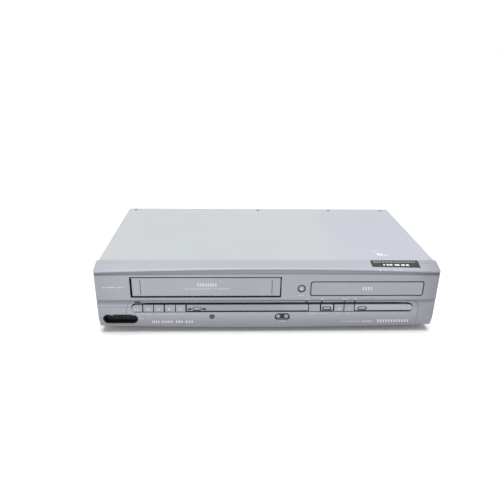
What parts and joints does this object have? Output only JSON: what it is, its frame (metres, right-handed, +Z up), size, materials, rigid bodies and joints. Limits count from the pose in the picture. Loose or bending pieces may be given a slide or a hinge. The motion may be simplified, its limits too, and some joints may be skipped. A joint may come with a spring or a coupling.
{
  "type": "dvd vcr combo player",
  "caption": "Table-top player with a flap-covered cassette slot beside a disc tray, a strip of keys below, front and rear jacks, and both mechanisms inside a folded cover.",
  "frame": {"origin": "centre of the bounding box, on the surface that the feet stand on", "axes": "+X to the right seen from the front, +Y from the front to the back, +Z up"},
  "size_m": [0.4386, 0.237, 0.094],
  "materials": {
    "silver_moulding": "silver painted moulding, fine metallic grain",
    "door_silver": "silver painted, satin",
    "key_silver": "silver painted, satin",
    "lamp_clear": "smoked",
    "sensor_smoke": "smoked, polished",
    "well_black": "black, fine texture",
    "jack_plate": "nickel plated",
    "jack_colours": "black with coloured rings",
    "cover_paint": "silver powder coat, fine grain",
    "zinc_sheet": "zinc plated sheet",
    "foot_rubber": "matt",
    "gland_black": "matt",
    "screw_black": "black oxide",
    "board_brown": "paper laminate",
    "component_black": "moulded",
    "drum_alloy": "turned and polished",
    "polished_steel": "ground",
    "roller_rubber": "ground",
    "deck_plastic": "acetal",
    "loader_black": "moulded",
    "motor_zinc": "plated can"
  },
  "bodies": {
    "casing": {"front_bezel": "silver_moulding", "control_panel": "silver_moulding", "key_strip": "key_silver", "lamp_windows": "lamp_clear", "sensor_window": "sensor_smoke", "jack_well": "well_black", "front_jacks": "jack_plate", "jack_shells": "jack_plate", "aerial_block": "jack_plate", "jack_block": "jack_colours", "top_cover": "cover_paint", "base_plate": "zinc_sheet", "rear_panel": "zinc_sheet", "deck_plate": "zinc_sheet", "feet": "foot_rubber", "cord_gland": "gland_black", "cover_screws": "screw_black", "key_board": "board_brown", "main_board": "board_brown", "power_board": "board_brown", "key_switches": "component_black", "board_parts": "component_black", "lower_drum": "drum_alloy", "loader_frame": "loader_black", "clamp_bridge": "loader_black", "loading_motors": "motor_zinc"},
    "cassette_door": {"cassette_door": "door_silver"},
    "disc_tray": {"disc_tray": "loader_black", "tray_front": "door_silver"},
    "tray_gear": {"tray_gear": "deck_plastic"},
    "traverse": {"traverse": "loader_black", "guide_rods": "polished_steel", "spindle_motor": "motor_zinc"},
    "turntable": {"turntable": "deck_plastic"},
    "laser_sled": {"laser_sled": "loader_black"},
    "clamp_disc": {"clamp_disc": "deck_plastic"},
    "loading_slider": {"loading_slider": "zinc_sheet"},
    "cassette_holder": {"cassette_holder": "zinc_sheet"},
    "upper_drum": {"upper_drum": "drum_alloy"},
    "capstan": {"capstan": "polished_steel"},
    "pinch_lever": {"pinch_lever": "polished_steel"},
    "pinch_roller": {"pinch_roller": "roller_rubber"},
    "supply_reel": {"supply_reel": "deck_plastic"},
    "take_up_reel": {"take_up_reel": "deck_plastic"},
    "supply_guide": {"supply_guide": "polished_steel"},
    "take_up_guide": {"take_up_guide": "polished_steel"},
    "stop_eject_key": {"stop_eject_key": "key_silver"},
    "rewind_key": {"rewind_key": "key_silver"},
    "forward_key": {"forward_key": "key_silver"},
    "play_key": {"play_key": "key_silver"},
    "record_key": {"record_key": "key_silver"},
    "disc_power_key": {"disc_power_key": "key_silver"},
    "disc_stop_key": {"disc_stop_key": "key_silver"},
    "disc_play_key": {"disc_play_key": "key_silver"},
    "source_key": {"source_key": "key_silver"},
    "disc_select_key": {"disc_select_key": "key_silver"},
    "dubbing_key": {"dubbing_key": "key_silver"},
    "channel_down_key": {"channel_down_key": "key_silver"},
    "channel_up_key": {"channel_up_key": "key_silver"},
    "open_close_key": {"open_close_key": "key_silver"}
  },
  "joints": [
    {"name": "door_swing", "type": "hinge", "parent": "casing", "child": "cassette_door", "pos_m": [-0.07965, -0.1114, 0.0755], "axis": [1, 0, 0], "range_deg": [0, 80], "stiffness_Nm_per_rad": 0.01, "springref_deg": -17.19},
    {"name": "tray_slide", "type": "slide", "parent": "casing", "child": "disc_tray", "axis": [0, -1, 0], "range_m": [0, 0.13509]},
    {"name": "tray_gear_spin", "type": "hinge", "parent": "casing", "child": "tray_gear", "pos_m": [0.075, -0.096, 0.055], "axis": [0, 0, 1], "range_deg": [0, 774.5]},
    {"name": "traverse_tilt", "type": "hinge", "parent": "casing", "child": "traverse", "pos_m": [0.1272, 0.032, 0.051], "axis": [1, 0, 0], "range_deg": [0, 4]},
    {"name": "turntable_spin", "type": "hinge", "parent": "traverse", "child": "turntable", "pos_m": [0.1272, -0.046, 0.058], "axis": [0, 0, 1], "continuous": true},
    {"name": "sled_travel", "type": "slide", "parent": "traverse", "child": "laser_sled", "axis": [0, 1, 0], "range_m": [0, 0.034]},
    {"name": "clamp_spin", "type": "hinge", "parent": "casing", "child": "clamp_disc", "pos_m": [0.1272, -0.046, 0.073], "axis": [0, 0, 1], "continuous": true},
    {"name": "slider_travel", "type": "slide", "parent": "casing", "child": "loading_slider", "axis": [0, 1, 0], "range_m": [0, 0.045]},
    {"name": "holder_lower", "type": "slide", "parent": "loading_slider", "child": "cassette_holder", "axis": [0, 0, -1], "range_m": [0, 0.012]},
    {"name": "drum_spin", "type": "hinge", "parent": "casing", "child": "upper_drum", "pos_m": [-0.07965, 0.062, 0.038], "axis": [0, -0.0872, 0.9962], "continuous": true},
    {"name": "capstan_spin", "type": "hinge", "parent": "casing", "child": "capstan", "pos_m": [-0.02765, 0.042, 0.04], "axis": [0, 0, 1], "continuous": true},
    {"name": "pinch_swing", "type": "hinge", "parent": "casing", "child": "pinch_lever", "pos_m": [-0.01005, 0.066, 0.041], "axis": [0, 0, -1], "range_deg": [0, 16.02]},
    {"name": "roller_spin", "type": "hinge", "parent": "pinch_lever", "child": "pinch_roller", "pos_m": [-0.01177, 0.04006, 0.05], "axis": [0, 0, 1], "continuous": true},
    {"name": "supply_reel_spin", "type": "hinge", "parent": "casing", "child": "supply_reel", "pos_m": [-0.12585, -0.042, 0.04], "axis": [0, 0, 1], "continuous": true},
    {"name": "take_up_reel_spin", "type": "hinge", "parent": "casing", "child": "take_up_reel", "pos_m": [-0.03345, -0.042, 0.04], "axis": [0, 0, 1], "continuous": true},
    {"name": "supply_guide_run", "type": "hinge", "parent": "casing", "child": "supply_guide", "pos_m": [-0.07965, 0.062, 0.038], "axis": [0, 0, -1], "range_deg": [0, 80]},
    {"name": "take_up_guide_run", "type": "hinge", "parent": "casing", "child": "take_up_guide", "pos_m": [-0.07965, 0.062, 0.038], "axis": [0, 0, 1], "range_deg": [0, 80]},
    {"name": "stop_eject_key_press", "type": "slide", "parent": "casing", "child": "stop_eject_key", "axis": [0, 1, 0], "range_m": [0, 0.0008], "stiffness_N_per_m": 600},
    {"name": "rewind_key_press", "type": "slide", "parent": "casing", "child": "rewind_key", "axis": [0, 1, 0], "range_m": [0, 0.0008], "stiffness_N_per_m": 600},
    {"name": "forward_key_press", "type": "slide", "parent": "casing", "child": "forward_key", "axis": [0, 1, 0], "range_m": [0, 0.0008], "stiffness_N_per_m": 600},
    {"name": "play_key_press", "type": "slide", "parent": "casing", "child": "play_key", "axis": [0, 1, 0], "range_m": [0, 0.0008], "stiffness_N_per_m": 600},
    {"name": "record_key_press", "type": "slide", "parent": "casing", "child": "record_key", "axis": [0, 1, 0], "range_m": [0, 0.0008], "stiffness_N_per_m": 600},
    {"name": "disc_power_key_press", "type": "slide", "parent": "casing", "child": "disc_power_key", "axis": [0, 1, 0], "range_m": [0, 0.0008], "stiffness_N_per_m": 600},
    {"name": "disc_stop_key_press", "type": "slide", "parent": "casing", "child": "disc_stop_key", "axis": [0, 1, 0], "range_m": [0, 0.0008], "stiffness_N_per_m": 600},
    {"name": "disc_play_key_press", "type": "slide", "parent": "casing", "child": "disc_play_key", "axis": [0, 1, 0], "range_m": [0, 0.0008], "stiffness_N_per_m": 600},
    {"name": "source_key_press", "type": "slide", "parent": "casing", "child": "source_key", "axis": [0, 1, 0], "range_m": [0, 0.0008], "stiffness_N_per_m": 600},
    {"name": "disc_select_key_press", "type": "slide", "parent": "casing", "child": "disc_select_key", "axis": [0, 1, 0], "range_m": [0, 0.0008], "stiffness_N_per_m": 600},
    {"name": "dubbing_key_press", "type": "slide", "parent": "casing", "child": "dubbing_key", "axis": [0, 1, 0], "range_m": [0, 0.0008], "stiffness_N_per_m": 600},
    {"name": "channel_down_key_press", "type": "slide", "parent": "casing", "child": "channel_down_key", "axis": [0, 1, 0], "range_m": [0, 0.0008], "stiffness_N_per_m": 600},
    {"name": "channel_up_key_press", "type": "slide", "parent": "casing", "child": "channel_up_key", "axis": [0, 1, 0], "range_m": [0, 0.0008], "stiffness_N_per_m": 600},
    {"name": "open_close_key_press", "type": "slide", "parent": "casing", "child": "open_close_key", "axis": [0, 1, 0], "range_m": [0, 0.0008], "stiffness_N_per_m": 600}
  ],
  "couplings": [
    {"joint": "tray_gear_spin", "follows": "tray_slide", "rad_per_m": 100},
    {"joint": "take_up_guide_run", "follows": "supply_guide_run", "ratio": 1}
  ]
}
